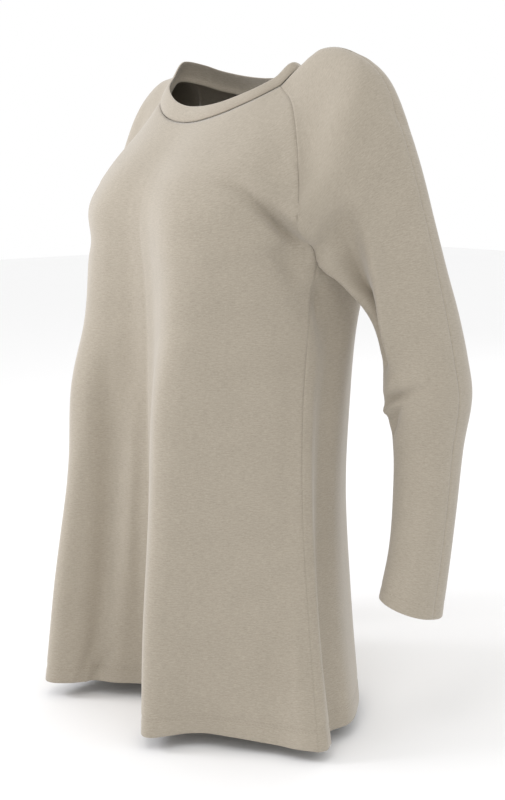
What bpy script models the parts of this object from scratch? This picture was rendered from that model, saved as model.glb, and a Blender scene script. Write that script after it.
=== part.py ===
"""A-line raglan top, worn form: seven cut panels as thin cloth walls, hollow and open at neck, cuffs and hem.

Metres, +Z up. The front faces -Y and the wearer's left is +X. The origin lies between the shoulders.
"""

import bpy
import numpy as np

# Driving sizes, in metres
CLOTH = 0.0013  # jersey wall
TURN_UP = 0.0024  # wall where the cloth is doubled at the hem and the cuffs
BAND_WALL = 0.0026  # folded strip of the neckband
SEAM_GAP = 0.0003  # between two panels that are sewn together
HEM_DEPTH = 0.020  # how far the hem is turned up
CUFF_DEPTH = 0.016
BAND_RISE = 0.016  # how far the neckband stands above its seam
BAND_LEAN = 0.009  # how far its top edge leans in
LEFT_LOW = 0.5  # share by which it stands lower at the left shoulder
GRADE = 1.07  # from the base size of the tables below to the size shown
MM = 0.001 * GRADE

# Front panel, one half: each row runs from centre front to the raglan seam (rows 0 to 5) or the side seam.
# Columns: centre, crest below the bust, hollow beside it, seam. Millimetres in the base size.
FRONT = [
    ((0, -68, -58), (39, -63, -52), (74, -44, -37), (90, -21, -23)),  # neck seam
    ((0, -95, -88), (45, -93, -83), (88, -64, -64), (115, -28, -42)),
    ((0, -119, -120), (57, -123, -116), (109, -89, -101), (138, -42, -80)),
    ((0, -127, -151), (69, -140, -149), (123, -105, -139), (153, -53, -123)),  # bust
    ((0, -126, -180), (73, -145, -180), (130, -110, -174), (159, -56, -161)),
    ((0, -123, -205), (75, -145, -205), (130, -106, -199), (156, -29, -191)),  # underarm
    ((0, -120, -262), (74, -148, -262), (127, -102, -262), (153, -39, -262)),
    ((0, -120, -332), (72, -162, -332), (127, -110, -332), (157, -49, -332)),
    ((0, -119, -432), (76, -172, -432), (128, -119, -433), (167, -58, -433)),
    ((0, -115, -547), (85, -190, -547), (128, -133, -548), (190, -69, -548)),
    ((0, -109, -643), (92, -200, -644), (130, -147, -644), (229, -93, -647)),  # hem
]

# Back panel, one half: from the raglan or side seam to centre back.
# Columns: seam, fold just behind it, flank, shoulder blade line, centre.
BACK = [
    ((89, 13, -10), (82, 24, -13), (70, 35, -18), (40, 49, -24), (0, 55, -27)),
    ((113, 28, -28), (103, 41, -34), (88, 53, -41), (47, 68, -53), (0, 72, -59)),
    ((136, 41, -64), (125, 59, -71), (107, 71, -79), (59, 88, -91), (0, 91, -97)),
    ((151, 45, -108), (137, 67, -113), (118, 84, -121), (65, 102, -130), (0, 102, -136)),
    ((157, 30, -151), (145, 59, -156), (126, 83, -162), (69, 104, -169), (0, 104, -175)),
    ((156, -29, -191), (154, 8, -194), (134, 61, -199), (75, 99, -203), (0, 102, -205)),
    ((153, -39, -262), (151, -8, -262), (144, 32, -262), (83, 83, -262), (0, 94, -262)),
    ((157, -49, -332), (151, -20, -332), (146, 18, -332), (86, 76, -332), (0, 86, -332)),
    ((167, -58, -433), (156, -30, -433), (150, 7, -432), (89, 69, -432), (0, 79, -432)),
    ((190, -69, -548), (171, -41, -548), (163, 2, -548), (100, 67, -547), (0, 75, -546)),
    ((229, -93, -647), (203, -56, -645), (194, -12, -644), (115, 62, -643), (0, 74, -642)),
]

# How far the right half sits from the mirror of the left one, by row: (in, back, up) at the crest below the
# bust, at the hollow beside it and at the seam.
RIGHT_IN = [
    ((0, 0, 0), (0, 0, 0), (0, 0, 0)),
    ((1, 0, 0), (5, 1, -1), (10, 5, -1)),
    ((3, 1, 0), (6, 2, 0), (12, 5, -1)),
    ((4, 5, 0), (1, 5, 0), (6, 6, 0)),
    ((8, 9, 0), (12, 11, 0), (6, 7, 0)),
    ((6, 8, 0), (9, 9, 0), (5, 6, 0)),
    ((2, 5, 1), (5, 6, 1), (1, 4, 1)),
    ((-2, 2, 0), (2, 4, 1), (1, 4, 1)),
    ((-1, 9, 0), (4, 9, 2), (4, 10, 2)),
    ((2, 13, 1), (8, 17, 2), (13, 22, 2)),
    ((4, 13, 2), (9, 25, 2), (29, 48, 4)),
]

# Sleeve: overarm point, reach to the front and to the back, and how far the row has turned from the body's
# direction into a ring round the arm. Rows 0 to 5 are the cap, beside rows 0 to 5 of the panels.
OVERARM = [
    ((95, -3, -8), 4, 4, 0.0),  # neck seam
    ((122, 8, 12), 11, 10, 0.0),
    ((160, 14, 6), 19, 19, 0.0),
    ((192, 20, -20), 31, 30, 0.1),  # shoulder
    ((215, 28, -79), 25, 37, 0.5),
    ((232, 36, -143), 20, 41, 1.0),  # level with the underarm
    ((244, 42, -196), 26, 42, 1.0),
    ((254, 46, -240), 34, 44, 1.0),
    ((262, 50, -285), 40, 44, 1.0),
    ((268, 51, -322), 42, 43, 1.0),  # elbow
    ((263, 49, -369), 34, 35, 1.0),
    ((266, 40, -423), 31, 31, 1.0),
    ((269, 29, -475), 30, 30, 1.0),
    ((270, 18, -530), 31, 31, 1.0),  # cuff
]
UNDERARM = [  # the seam along the inside of the arm, rows 5 to 13
    (156, -29, -191),
    (172, -11, -216),
    (184, 14, -246),
    (186, 42, -286),
    (187, 50, -326),
    (198, 48, -373),
    (205, 40, -427),
    (211, 29, -472),
    (212, 16, -516),
]
RIGHT_SHOULDER = ((0, 0), (4, 20), (12, 21), (21, 17), (19, 11), (9, 5))  # right overarm: in and down, rows 0 to 5
FOREARM_TILT = 0.17  # slope of the rows below the elbow, as the forearm comes forward

# Grid lines. Rows are in table rows, so that panels and sleeves share their points along the raglan seams.
CAP_ROWS = list(np.linspace(0, 5, 16))
HEM_START = 10 - HEM_DEPTH / (97 * MM)  # table row where the doubled cloth starts
CUFF_START = 13 - CUFF_DEPTH / (50 * MM)
BODY_ROWS = CAP_ROWS + [5.5, 6, 6.5, 7, 7.5, 8, 8.5, 9, 9.5, HEM_START - 0.006, HEM_START + 0.006, 10]
ARM_ROWS = CAP_ROWS + [5.35, 5.7, 6, 6.5, 7, 7.5, 8, 8.5, 9, 9.5, 10, 10.5, 11, 11.5, 12, 12.4,
                       CUFF_START - 0.01, CUFF_START + 0.01, 13]
PANEL_COLUMNS = 9  # on each half of a panel
SLEEVE_COLUMNS = 9
BAND_COLUMNS = 10  # on each quarter of the neck seam between a centre and a raglan seam

COLOURS = {
    "front": (0.60, 0.55, 0.46),
    "back": (0.56, 0.51, 0.42),
    "sleeve_front_left": (0.62, 0.57, 0.48),
    "sleeve_back_left": (0.58, 0.53, 0.44),
    "sleeve_front_right": (0.62, 0.57, 0.48),
    "sleeve_back_right": (0.58, 0.53, 0.44),
    "neckband": (0.64, 0.59, 0.50),
}


def smooth(points, at):
    """Point at a place along a row of points, by a curve that passes through each of them."""
    points = np.asarray(points, float)
    i = int(min(max(np.floor(at), 0), len(points) - 2))
    t = at - i
    before = points[i - 1] if i > 0 else 2 * points[i] - points[i + 1]
    after = points[i + 2] if i + 2 < len(points) else 2 * points[i + 1] - points[i]
    a, b = points[i], points[i + 1]
    ma, mb = (b - before) / 2, (after - a) / 2
    return ((2 * t**3 - 3 * t**2 + 1) * a + (t**3 - 2 * t**2 + t) * ma
            + (3 * t**2 - 2 * t**3) * b + (t**3 - t**2) * mb)


def control_row(table, row, side, low=False):
    """One half row of a panel as control points, set in on the right side.

    With low, the row above the underarm starts halfway between the two raglan seams, to guide the side seam.
    """
    points = [np.array(p, float) for p in table[row]]
    if low and row == 4:
        points[-1 if table is FRONT else 0] = (np.array(FRONT[4][-1], float) + np.array(BACK[4][0], float)) / 2
    if side > 0:
        return points
    crest, hollow, seam = RIGHT_IN[row]
    still = (0, 0, 0)
    shifts = (still, crest, hollow, seam) if table is FRONT else (
        seam, np.multiply(seam, (0.9, 0.8, 0.8)), np.multiply(seam, (0.7, 0.5, 0.5)), still, still)
    return [(p + (-dx, dy, dz)) * (-1, 1, 1) for p, (dx, dy, dz) in zip(points, shifts)]


def front_row(row, side, low=False):
    """Front half row from centre to seam, with one more point on either end to guide the curve."""
    points = control_row(FRONT, row, side, low)
    beyond = control_row(BACK, row, side)[1] if row >= 5 else 2 * points[3] - points[2]
    return [control_row(FRONT, row, -side)[1]] + points + [beyond]


def back_row(row, side, low=False):
    """Back half row from seam to centre, guided in the same way."""
    points = control_row(BACK, row, side, low)
    beyond = control_row(FRONT, row, side)[2] if row >= 5 else 2 * points[0] - points[1]
    return [beyond] + points + [control_row(BACK, row, -side)[3]]


def panel_point(rows, side, across, down):
    """Point of a panel half: across runs along its columns, down is in table rows."""
    column = [smooth(rows(row, side, down > 5), across + 1) for row in range(len(FRONT))]
    return smooth(column, down)


def hermite(a, ma, b, mb, t):
    return ((2 * t**3 - 3 * t**2 + 1) * a + (t**3 - 2 * t**2 + t) * ma
            + (3 * t**2 - 2 * t**3) * b + (t**3 - t**2) * mb)


def overarm_at(side, down):
    rows = []
    for i, (point, front, back, turned) in enumerate(OVERARM):
        dx, dz = RIGHT_SHOULDER[i] if side < 0 and i < len(RIGHT_SHOULDER) else (0, 0)
        rows.append((point[0] - dx, point[1], point[2] - dz, front, back, turned))
    x, y, z, front, back, turned = smooth(rows, down)
    return np.array((side * x, y, z)), front, back, min(max(turned, 0.0), 1.0)


def inner_at(side, down, rows, seam):
    """Where a sleeve row starts: on the raglan seam in the cap, on the underarm seam below it."""
    if down <= 5:
        return panel_point(rows, side, seam, down)
    guide = (control_row(FRONT, 4, side)[3] + control_row(BACK, 4, side)[0]) / 2
    line = [np.array(p, float) * (side, 1, 1) for p in UNDERARM]
    moved = control_row(FRONT, 5, side)[3] - line[0]
    line = [p + moved * share for p, share in zip(line, (1, 0.6, 0.2) + (0,) * 6)]
    return smooth([guide] + line, down - 4)


def seam_step(rows, side, seam, down):
    """Direction of a raglan seam at a row."""
    up, low = max(down - 0.05, 0), min(down + 0.05, 5)
    return panel_point(rows, side, seam, low) - panel_point(rows, side, seam, up)


def flow(chord, across, along):
    """The chord laid into the cloth of the panel at its seam, so that the sleeve carries on from it smoothly."""
    normal = np.cross(across, along)
    normal /= np.linalg.norm(normal)
    laid = chord - normal * (chord @ normal)
    return laid / max(np.linalg.norm(laid), 1e-9) * np.linalg.norm(chord)


def sleeve_point(side, half, around, down):
    """Point of a sleeve half: around is 0 on the inner edge and 1 on the overarm line."""
    rows, seam, inward = (front_row, 3, 2.9) if half == "front" else (back_row, 0, 0.15)
    start = inner_at(side, down, rows, seam)
    top, front, back, turned = overarm_at(side, down)
    reach = front if half == "front" else back
    forward = -1 if half == "front" else 1
    span = np.linalg.norm(top - start)
    tilt = FOREARM_TILT * min(max((down - 9) / 2, 0.0), 1.0)
    ring = np.array((0, 1, -tilt)) * forward * 4 * reach
    if down <= 5:
        leave = flow(top - start, start - panel_point(rows, side, inward, down), seam_step(rows, side, seam, down))
        cross = np.array((side * 40, 0, 0)) * turned * (1 - turned)
        arrive = -forward * np.array((0, 1, 0)) * min(4 * reach, 1.15 * span)
        return hermite(start, leave * (1 - turned) + ring * turned + cross, top,
                       arrive * (1 - turned) - ring * turned, around)
    return hermite(start, ring, top, -ring, around)


def grid_of(make, columns, rows):
    return np.array([[make(c, r) for c in columns] for r in rows]) * MM


def panel_grid(rows):
    """Whole panel, from the wearer's right seam to the left one."""
    steps = np.linspace(0, 3 if rows is front_row else 4, PANEL_COLUMNS + 1)
    if rows is front_row:
        right = [(-1, s) for s in steps[::-1][:-1]]
        left = [(1, s) for s in steps]
    else:
        right = [(-1, s) for s in steps]
        left = [(1, s) for s in steps[::-1][1:]]
    return grid_of(lambda c, r: panel_point(rows, c[0], c[1], r), right + left, BODY_ROWS)


def sleeve_grid(side, half):
    steps = np.linspace(0, 1, SLEEVE_COLUMNS + 1)
    return grid_of(lambda c, r: sleeve_point(side, half, c, r), steps, ARM_ROWS)


def neck_loop():
    """Closed line of the neck seam, as the panels and sleeves meet it."""
    runs = []
    steps = np.linspace(0, 1, BAND_COLUMNS, endpoint=False)
    for side in (1, -1):
        f = [panel_point(front_row, side, 3 * s, 0) for s in steps]
        sf = [sleeve_point(side, "front", s, 0) for s in np.linspace(0, 1, 3, endpoint=False)]
        sb = [sleeve_point(side, "back", 1 - s, 0) for s in np.linspace(0, 1, 3, endpoint=False)]
        b = [panel_point(back_row, side, 4 * s, 0) for s in steps]
        run = f + sf + sb + b
        centre_back = panel_point(back_row, side, 4, 0)
        if side > 0:
            runs += run + [centre_back]
        else:
            runs += run[1:][::-1]
    return np.array(runs) * MM


def band_grid():
    """Neckband from its seam up to its fold, following the neck seam all the way round."""
    loop = neck_loop()
    middle = np.array((0, loop[:, 1].mean(), 0))
    rows = []
    for k in np.linspace(0, 1, 4):
        inward = middle - loop * (1, 1, 0)
        inward /= np.linalg.norm(inward, axis=1)[:, None]
        toward_left = np.clip(-inward[:, :1], 0, 1) ** 1.5
        lean = BAND_LEAN * (k * 0.55 + 0.45 * k * k) * (1 - 0.4 * toward_left)
        rise = SEAM_GAP * 1.2 + BAND_RISE * k * (1 - LEFT_LOW * toward_left)
        rows.append(loop + inward * lean + np.array((0, 0, 1)) * rise)
    return np.array(rows)


def normals_of(grid, closed=False):
    """Unit normals of a grid, rows down and columns across."""
    if closed:
        across = np.roll(grid, -1, axis=1) - np.roll(grid, 1, axis=1)
    else:
        across = np.gradient(grid, axis=1)
    down = np.gradient(grid, axis=0)
    normal = np.cross(down, across)
    return normal / np.linalg.norm(normal, axis=2)[..., None]


def wall(name, grid, normals, thick, closed=False):
    """Cloth wall between a grid and the same grid moved inwards."""
    inner = grid - normals * thick[:, None, None]
    n_rows, n_cols = grid.shape[:2]
    points = np.concatenate([grid.reshape(-1, 3), inner.reshape(-1, 3)])
    half = n_rows * n_cols
    faces = []
    wrap = n_cols if closed else n_cols - 1

    def at(r, c, layer):
        return layer * half + r * n_cols + c % n_cols

    for r in range(n_rows - 1):
        for c in range(wrap):
            faces.append((at(r, c, 0), at(r + 1, c, 0), at(r + 1, c + 1, 0), at(r, c + 1, 0)))
            faces.append((at(r, c, 1), at(r, c + 1, 1), at(r + 1, c + 1, 1), at(r + 1, c, 1)))
    for c in range(wrap):
        for r, turn in ((0, False), (n_rows - 1, True)):
            quad = (at(r, c, 0), at(r, c + 1, 0), at(r, c + 1, 1), at(r, c, 1))
            faces.append(quad[::-1] if turn else quad)
    if not closed:
        for r in range(n_rows - 1):
            for c, turn in ((0, True), (n_cols - 1, False)):
                quad = (at(r, c, 0), at(r + 1, c, 0), at(r + 1, c, 1), at(r, c, 1))
                faces.append(quad if not turn else quad[::-1])
    mesh = bpy.data.meshes.new(name)
    mesh.from_pydata([tuple(p) for p in points], [], faces)
    mesh.validate()
    obj = bpy.data.objects.new(name, mesh)
    bpy.context.scene.collection.objects.link(obj)
    material = bpy.data.materials.new(name + "_cloth")
    material.use_nodes = True
    shader = material.node_tree.nodes["Principled BSDF"]
    shader.inputs["Base Color"].default_value = (*COLOURS[name], 1)
    shader.inputs["Roughness"].default_value = 0.9
    mesh.materials.append(material)
    return obj


def outward(grid, normals, axis_point):
    """Normals turned so that they point away from the hollow."""
    mid = grid.reshape(-1, 3).mean(axis=0) - axis_point
    return normals if (normals.reshape(-1, 3).mean(axis=0) @ mid) > 0 else -normals


def share_normals(pieces):
    """Along a seam both panels get the same direction, so that their walls meet evenly."""
    table = {}
    for grid, normals in pieces.values():
        for p, n in zip(grid.reshape(-1, 3), normals.reshape(-1, 3)):
            table.setdefault(tuple(np.round(p, 6)), []).append(n)
    for name, (grid, normals) in pieces.items():
        flat = normals.reshape(-1, 3).copy()
        for i, p in enumerate(grid.reshape(-1, 3)):
            own = flat[i]
            n = np.sum([m for m in table[tuple(np.round(p, 6))] if m @ own > 0.2], axis=0)
            flat[i] = n / np.linalg.norm(n)
        pieces[name] = (grid, flat.reshape(grid.shape))


def draw_back(grid, amount, edges):
    """Moves the sewn edges of a grid into the panel by half of the gap."""
    grid = grid.copy()
    if "left" in edges:
        step = grid[:, 1] - grid[:, 0]
        grid[:, 0] += step / np.linalg.norm(step, axis=1)[:, None] * amount
    if "right" in edges:
        step = grid[:, -2] - grid[:, -1]
        grid[:, -1] += step / np.linalg.norm(step, axis=1)[:, None] * amount
    if "top" in edges:
        step = grid[1] - grid[0]
        grid[0] += step / np.linalg.norm(step, axis=1)[:, None] * amount
    return grid


def main():
    for obj in list(bpy.data.objects):
        bpy.data.objects.remove(obj, do_unlink=True)
    pieces = {"front": panel_grid(front_row), "back": panel_grid(back_row)}
    for side, word in ((1, "left"), (-1, "right")):
        for half in ("front", "back"):
            pieces[f"sleeve_{half}_{word}"] = sleeve_grid(side, half)
    faced = {}
    for name, grid in pieces.items():
        side = 1 if name.endswith("left") else -1
        inside = np.array((0, -0.02, -0.35)) * GRADE
        if name.startswith("sleeve"):
            inside = np.array((side * 0.2, 0.02, -0.28)) * GRADE
        faced[name] = (grid, outward(grid, normals_of(grid), inside))
    share_normals(faced)
    for name, (grid, normals) in faced.items():
        rows, start = (BODY_ROWS, HEM_START) if name in ("front", "back") else (ARM_ROWS, CUFF_START)
        thick = np.where(np.array(rows) < start, CLOTH, TURN_UP)
        sewn = draw_back(grid, SEAM_GAP / 2, ("left", "right", "top"))
        flipped = np.cross(grid[1, 0] - grid[0, 0], grid[0, 1] - grid[0, 0]) @ normals[0, 0] < 0
        if flipped:
            sewn, normals = sewn[:, ::-1], normals[:, ::-1]
        wall(name, sewn, normals, thick)
    band = band_grid()
    normals = normals_of(band, closed=True)
    away = band[0, 0] - band[0].mean(axis=0)
    if normals[0, 0] @ away < 0:
        band, normals = band[:, ::-1], -normals[:, ::-1]
    wall("neckband", band, normals, np.full(len(band), BAND_WALL), closed=True)


main()
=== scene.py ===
"""A-line raglan top in beige jersey: panels with their folds, seams, turned-up hems, neckband, light and camera.

Metres, +Z up. The front faces -Y and the wearer's left is +X, as in the solids.
"""

import logging
import math
from dataclasses import dataclass, field
from enum import Enum
from typing import Callable, Sequence

import bmesh
import bpy
import numpy as np
from bpy.types import Material, Mesh, Node, NodeSocket, NodeTree, Object
from mathutils import Matrix, Vector
from numpy.linalg import norm


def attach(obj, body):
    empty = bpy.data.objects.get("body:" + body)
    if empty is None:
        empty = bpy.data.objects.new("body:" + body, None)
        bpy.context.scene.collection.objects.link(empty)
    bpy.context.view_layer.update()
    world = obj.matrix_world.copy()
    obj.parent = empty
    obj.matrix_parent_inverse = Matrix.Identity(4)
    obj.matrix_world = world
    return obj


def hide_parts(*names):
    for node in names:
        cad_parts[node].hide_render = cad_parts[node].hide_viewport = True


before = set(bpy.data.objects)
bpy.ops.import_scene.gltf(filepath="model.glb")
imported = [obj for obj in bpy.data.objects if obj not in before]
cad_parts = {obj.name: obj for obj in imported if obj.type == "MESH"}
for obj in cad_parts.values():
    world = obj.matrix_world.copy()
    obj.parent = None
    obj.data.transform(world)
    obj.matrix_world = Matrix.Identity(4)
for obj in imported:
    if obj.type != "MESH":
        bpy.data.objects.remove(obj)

LOG = logging.getLogger("a_line_top")

Triple = tuple[float, float, float]
Array = np.ndarray

# The drafted form, in millimetres of the base size (as in the solids)
GRADE = 1.07  # from the base size of the tables to the size shown
MM = 0.001 * GRADE
SEAM_GAP = 0.0003  # between two panels
BAND_RISE = 0.016  # height of the neckband
BAND_LEAN = 0.009  # how far its fold stands in from its seam
LEFT_LOW = 0.5  # share by which it is lower at the wearer's left
FOREARM_TILT = 0.17  # slope of the rows below the elbow, as the forearm comes forward
UNDERARM_ROW, ELBOW_ROW, HEM_ROW, CUFF_ROW = 5, 9, 10, 13
HALF_TURN = np.linspace(0, math.pi, 7)[1:]  # steps round a folded edge

# Front half rows, from centre front to the raglan seam (rows 0 to 5) or the side seam
FRONT = [
    ((0, -68, -58), (39, -63, -52), (74, -44, -37), (90, -21, -23)),  # neck seam
    ((0, -95, -88), (45, -93, -83), (88, -64, -64), (115, -28, -42)),
    ((0, -119, -120), (57, -123, -116), (109, -89, -101), (138, -42, -80)),
    ((0, -127, -151), (69, -140, -149), (123, -105, -139), (153, -53, -123)),  # bust
    ((0, -126, -180), (73, -145, -180), (130, -110, -174), (159, -56, -161)),
    ((0, -123, -205), (75, -145, -205), (130, -106, -199), (156, -29, -191)),  # underarm
    ((0, -120, -262), (74, -148, -262), (127, -102, -262), (153, -39, -262)),
    ((0, -120, -332), (72, -162, -332), (127, -110, -332), (157, -49, -332)),
    ((0, -119, -432), (76, -172, -432), (128, -119, -433), (167, -58, -433)),
    ((0, -115, -547), (85, -190, -547), (128, -133, -548), (190, -69, -548)),
    ((0, -109, -643), (92, -200, -644), (130, -147, -644), (229, -93, -647)),  # hem
]

# Back half rows, from the raglan or side seam to centre back
BACK = [
    ((89, 13, -10), (82, 24, -13), (70, 35, -18), (40, 49, -24), (0, 55, -27)),
    ((113, 28, -28), (103, 41, -34), (88, 53, -41), (47, 68, -53), (0, 72, -59)),
    ((136, 41, -64), (125, 59, -71), (107, 71, -79), (59, 88, -91), (0, 91, -97)),
    ((151, 45, -108), (137, 67, -113), (118, 84, -121), (65, 102, -130), (0, 102, -136)),
    ((157, 30, -151), (145, 59, -156), (126, 83, -162), (69, 104, -169), (0, 104, -175)),
    ((156, -29, -191), (154, 8, -194), (134, 61, -199), (75, 99, -203), (0, 102, -205)),
    ((153, -39, -262), (151, -8, -262), (144, 32, -262), (83, 83, -262), (0, 94, -262)),
    ((157, -49, -332), (151, -20, -332), (146, 18, -332), (86, 76, -332), (0, 86, -332)),
    ((167, -58, -433), (156, -30, -433), (150, 7, -432), (89, 69, -432), (0, 79, -432)),
    ((190, -69, -548), (171, -41, -548), (163, 2, -548), (100, 67, -547), (0, 75, -546)),
    ((229, -93, -647), (203, -56, -645), (194, -12, -644), (115, 62, -643), (0, 74, -642)),
]

# How far the right half sits from the mirror of the left one: (in, back, up) at crest, hollow and seam
RIGHT_IN = [
    ((0, 0, 0), (0, 0, 0), (0, 0, 0)),
    ((1, 0, 0), (5, 1, -1), (10, 5, -1)),
    ((3, 1, 0), (6, 2, 0), (12, 5, -1)),
    ((4, 5, 0), (1, 5, 0), (6, 6, 0)),
    ((8, 9, 0), (12, 11, 0), (6, 7, 0)),
    ((6, 8, 0), (9, 9, 0), (5, 6, 0)),
    ((2, 5, 1), (5, 6, 1), (1, 4, 1)),
    ((-2, 2, 0), (2, 4, 1), (1, 4, 1)),
    ((-1, 9, 0), (4, 9, 2), (4, 10, 2)),
    ((2, 13, 1), (8, 17, 2), (13, 22, 2)),
    ((4, 13, 2), (9, 25, 2), (29, 48, 4)),
]

# Sleeve rows: overarm point, reach to the front and back, and how far the row has turned into a ring
OVERARM = [
    ((95, -3, -8), 4, 4, 0.0),  # neck seam
    ((122, 8, 12), 11, 10, 0.0),
    ((160, 14, 6), 19, 19, 0.0),
    ((192, 20, -20), 31, 30, 0.1),  # shoulder
    ((215, 28, -79), 25, 37, 0.5),
    ((232, 36, -143), 20, 41, 1.0),  # level with the underarm
    ((244, 42, -196), 26, 42, 1.0),
    ((254, 46, -240), 34, 44, 1.0),
    ((262, 50, -285), 40, 44, 1.0),
    ((268, 51, -322), 42, 43, 1.0),  # elbow
    ((263, 49, -369), 34, 35, 1.0),
    ((266, 40, -423), 31, 31, 1.0),
    ((269, 29, -475), 30, 30, 1.0),
    ((270, 18, -530), 31, 31, 1.0),  # cuff
]
UNDERARM = [
    (156, -29, -191), (172, -11, -216), (184, 14, -246), (186, 42, -286), (187, 50, -326),
    (198, 48, -373), (205, 40, -427), (211, 29, -472), (212, 16, -516),
]
RIGHT_SHOULDER = ((0, 0), (4, 20), (12, 21), (21, 17), (19, 11), (9, 5))


class Half(Enum):
    """Which half of a sleeve or of the body."""

    FRONT = "front"
    BACK = "back"


def smooth(points: Sequence, at: float) -> Array:
    """Point at a place along a row of points, by a curve that passes through each of them.

    Args:
        points: control points, evenly spaced in the curve's own measure.
        at: place along them, 0 at the first.

    Returns:
        The point there.
    """
    points = np.asarray(points, float)
    i = int(min(max(np.floor(at), 0), len(points) - 2))
    t = at - i
    before = points[i - 1] if i > 0 else 2 * points[i] - points[i + 1]
    after = points[i + 2] if i + 2 < len(points) else 2 * points[i + 1] - points[i]
    a, b = points[i], points[i + 1]
    ma, mb = (b - before) / 2, (after - a) / 2
    return hermite(a, ma, b, mb, t)


def hermite(a: Array, ma: Array, b: Array, mb: Array, t: float) -> Array:
    """Point at t, 0 to 1, of a cubic from a to b that leaves along ma and arrives along mb."""
    return ((2 * t**3 - 3 * t**2 + 1) * a + (t**3 - 2 * t**2 + t) * ma
            + (3 * t**2 - 2 * t**3) * b + (t**3 - t**2) * mb)


class Draft:
    """The drafted form of the top: one point for each place on each panel, in millimetres of the base size.

    side is 1 for the left and -1 for the right, and down counts table rows from 0 at the neck.
    """

    def control_row(self, half: Half, row: int, side: int, low: bool = False) -> list[Array]:
        """One half row of a body panel.

        Args:
            half: front or back.
            row: table row.
            side: left or right.
            low: start the row above the underarm halfway between the raglan seams.

        Returns:
            The control points.
        """
        table = FRONT if half is Half.FRONT else BACK
        points = [np.array(p, float) for p in table[row]]
        if low and row == UNDERARM_ROW - 1:
            middle = (np.array(FRONT[row][-1], float) + np.array(BACK[row][0], float)) / 2
            points[-1 if half is Half.FRONT else 0] = middle
        if side > 0:
            return points
        crest, hollow, seam = RIGHT_IN[row]
        still = (0, 0, 0)
        shifts = (still, crest, hollow, seam) if half is Half.FRONT else (
            seam, np.multiply(seam, (0.9, 0.8, 0.8)), np.multiply(seam, (0.7, 0.5, 0.5)), still, still)
        return [(p + (-dx, dy, dz)) * (-1, 1, 1) for p, (dx, dy, dz) in zip(points, shifts)]

    def guided_row(self, half: Half, row: int, side: int, low: bool) -> list[Array]:
        """A half row with one more point on either end to guide the curve."""
        points = self.control_row(half, row, side, low)
        joined = row >= UNDERARM_ROW
        if half is Half.FRONT:
            beyond = self.control_row(Half.BACK, row, side)[1] if joined else 2 * points[3] - points[2]
            return [self.control_row(half, row, -side)[1]] + points + [beyond]
        beyond = self.control_row(Half.FRONT, row, side)[2] if joined else 2 * points[0] - points[1]
        return [beyond] + points + [self.control_row(half, row, -side)[3]]

    def panel_point(self, half: Half, side: int, across: float, down: float) -> Array:
        """Point of a body panel in millimetres, across in columns and down in rows from the neck."""
        low = down > UNDERARM_ROW
        return smooth([smooth(self.guided_row(half, row, side, low), across + 1) for row in range(len(FRONT))],
                      down)

    def overarm_at(self, side: int, down: float) -> tuple[Array, float, float, float]:
        """Overarm point of a sleeve row, its reach to the front and to the back, and its turn."""
        rows = []
        for i, (point, front, back, turned) in enumerate(OVERARM):
            dx, dz = RIGHT_SHOULDER[i] if side < 0 and i < len(RIGHT_SHOULDER) else (0, 0)
            rows.append((point[0] - dx, point[1], point[2] - dz, front, back, turned))
        x, y, z, front, back, turned = smooth(rows, down)
        return np.array((side * x, y, z)), front, back, min(max(turned, 0.0), 1.0)

    def inner_at(self, half: Half, side: int, down: float) -> Array:
        """Start of a sleeve row: on the raglan seam in the cap, on the underarm seam below it."""
        if down <= UNDERARM_ROW:
            return self.panel_point(half, side, 3 if half is Half.FRONT else 0, down)
        guide = (self.control_row(Half.FRONT, 4, side)[3] + self.control_row(Half.BACK, 4, side)[0]) / 2
        line = [np.array(p, float) * (side, 1, 1) for p in UNDERARM]
        moved = self.control_row(Half.FRONT, 5, side)[3] - line[0]
        line = [p + moved * share for p, share in zip(line, (1, 0.6, 0.2) + (0,) * 6)]
        return smooth([guide] + line, down - 4)

    def sleeve_point(self, half: Half, side: int, around: float, down: float) -> Array:
        """Point of a sleeve half.

        Args:
            half: front or back.
            side: left or right.
            around: 0 on the inner edge and 1 on the overarm line.
            down: place in sleeve rows, 0 at the neck and 13 at the cuff.

        Returns:
            The point.
        """
        front_half = half is Half.FRONT
        start = self.inner_at(half, side, down)
        top, front, back, turned = self.overarm_at(side, down)
        reach, forward = (front, -1) if front_half else (back, 1)
        span = norm(top - start)
        tilt = FOREARM_TILT * min(max((down - ELBOW_ROW) / 2, 0.0), 1.0)
        ring = np.array((0, 1, -tilt)) * forward * 4 * reach
        if down > UNDERARM_ROW:
            return hermite(start, ring, top, -ring, around)
        seam, inward = (3, 2.9) if front_half else (0, 0.15)
        up, low = max(down - 0.05, 0), min(down + 0.05, UNDERARM_ROW)
        along = self.panel_point(half, side, seam, low) - self.panel_point(half, side, seam, up)
        normal = np.cross(start - self.panel_point(half, side, inward, down), along)
        normal /= norm(normal)
        chord = top - start
        laid = chord - normal * (chord @ normal)
        leave = laid / max(norm(laid), 1e-9) * norm(chord)
        cross = np.array((side * 40, 0, 0)) * turned * (1 - turned)
        arrive = -forward * np.array((0, 1, 0)) * min(4 * reach, 1.15 * span)
        return hermite(start, leave * (1 - turned) + ring * turned + cross, top,
                       arrive * (1 - turned) - ring * turned, around)


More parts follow.
